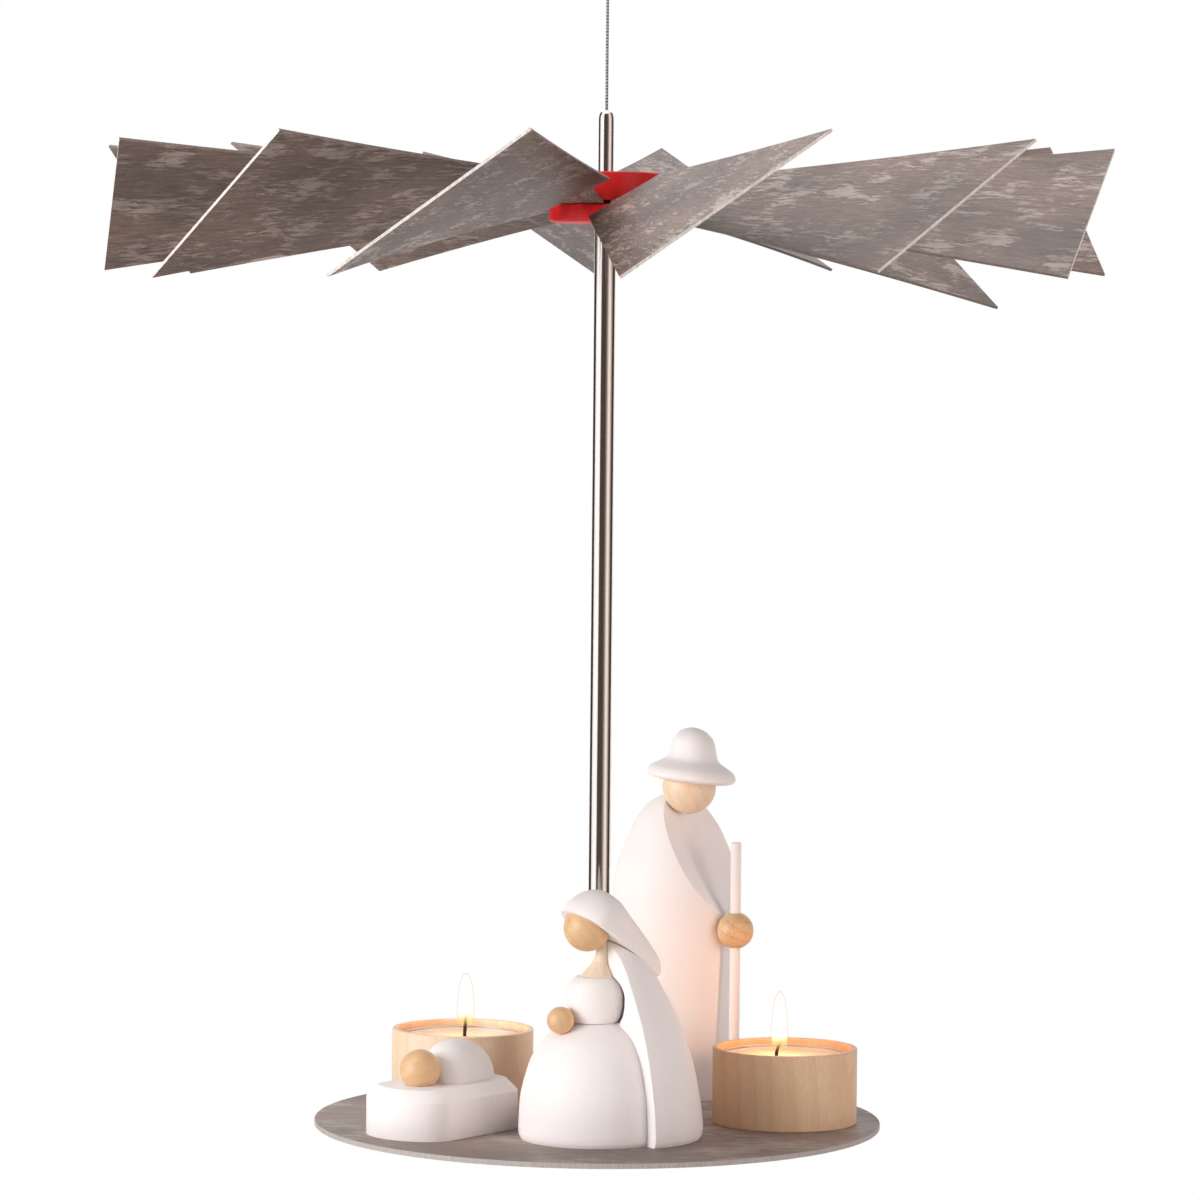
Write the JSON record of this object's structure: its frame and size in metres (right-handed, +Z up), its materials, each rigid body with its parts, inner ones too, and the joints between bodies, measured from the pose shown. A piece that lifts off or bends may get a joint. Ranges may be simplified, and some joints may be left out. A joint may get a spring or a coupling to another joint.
{
  "type": "hanging christmas pyramid",
  "caption": "Candle carousel hanging on a thin cable: warm air from tealights turns a bladed rotor, and with it a round plate of turned nativity figures.",
  "frame": {"origin": "middle of the ceiling puck's flat top face, which lies against the ceiling", "axes": "+Z up along the cable, spindle and tube, which is the turning axis; -Y towards the viewer of the picture, +X to the viewer's right"},
  "size_m": [0.3181, 0.3171, 0.3891],
  "materials": {
    "steel": "polished stainless steel",
    "bronze": "turned, satin",
    "slate_look": "thin board with a slate-look, matt",
    "red_wood": "turned beech, stained red, satin",
    "maple": "turned, natural, waxed",
    "white_wood": "turned, glazed white, matt",
    "tealight_cup": "thin bright sheet",
    "wax": "white wax, slightly translucent",
    "wick": "charred braided wick"
  },
  "bodies": {
    "fixture": {"ceiling_base": "steel", "ceiling_cap": "steel", "cable_stop": "steel", "cable": "steel", "spindle": "steel", "spindle_nut": "steel", "bearing_inner_race": "steel", "bearing_balls": "steel"},
    "carousel": {"bearing_outer_race": "steel", "tube_collar": "steel", "hub_nut": "steel", "tube": "steel", "foot_flange": "steel", "tube_plug": "steel", "plate_screw": "steel", "bearing_bush": "bronze", "hub_lower": "red_wood", "hub_upper": "red_wood", "plate": "slate_look", "blade_01": "slate_look", "blade_02": "slate_look", "blade_03": "slate_look", "blade_04": "slate_look", "blade_05": "slate_look", "blade_06": "slate_look", "blade_07": "slate_look", "blade_08": "slate_look", "blade_09": "slate_look", "blade_10": "slate_look", "blade_11": "slate_look", "blade_12": "slate_look", "holder_right": "maple", "holder_left": "maple", "woman_neck": "maple", "woman_head": "maple", "woman_hand": "maple", "man_head": "maple", "man_hand": "maple", "infant_head": "maple", "woman_skirt": "white_wood", "woman_torso": "white_wood", "woman_veil": "white_wood", "woman_cloak": "white_wood", "man_gown": "white_wood", "man_hat": "white_wood", "staff": "white_wood", "crib_base": "white_wood", "infant_body": "white_wood"},
    "tealight_right": {"tealight_cup_right": "tealight_cup", "wick_foot_right": "steel", "wax_right": "wax", "wick_right": "wick"},
    "tealight_left": {"tealight_cup_left": "tealight_cup", "wick_foot_left": "steel", "wax_left": "wax", "wick_left": "wick"}
  },
  "joints": [
    {"name": "carousel_turn", "type": "hinge", "parent": "fixture", "child": "carousel", "pos_m": [0, 0, 0], "axis": [0, 0, 1], "continuous": true},
    {"name": "tealight_right_lift", "type": "slide", "parent": "carousel", "child": "tealight_right", "axis": [0, 0, 1], "range_m": [0, 0.019]},
    {"name": "tealight_left_lift", "type": "slide", "parent": "carousel", "child": "tealight_left", "axis": [0, 0, 1], "range_m": [0, 0.019]}
  ]
}
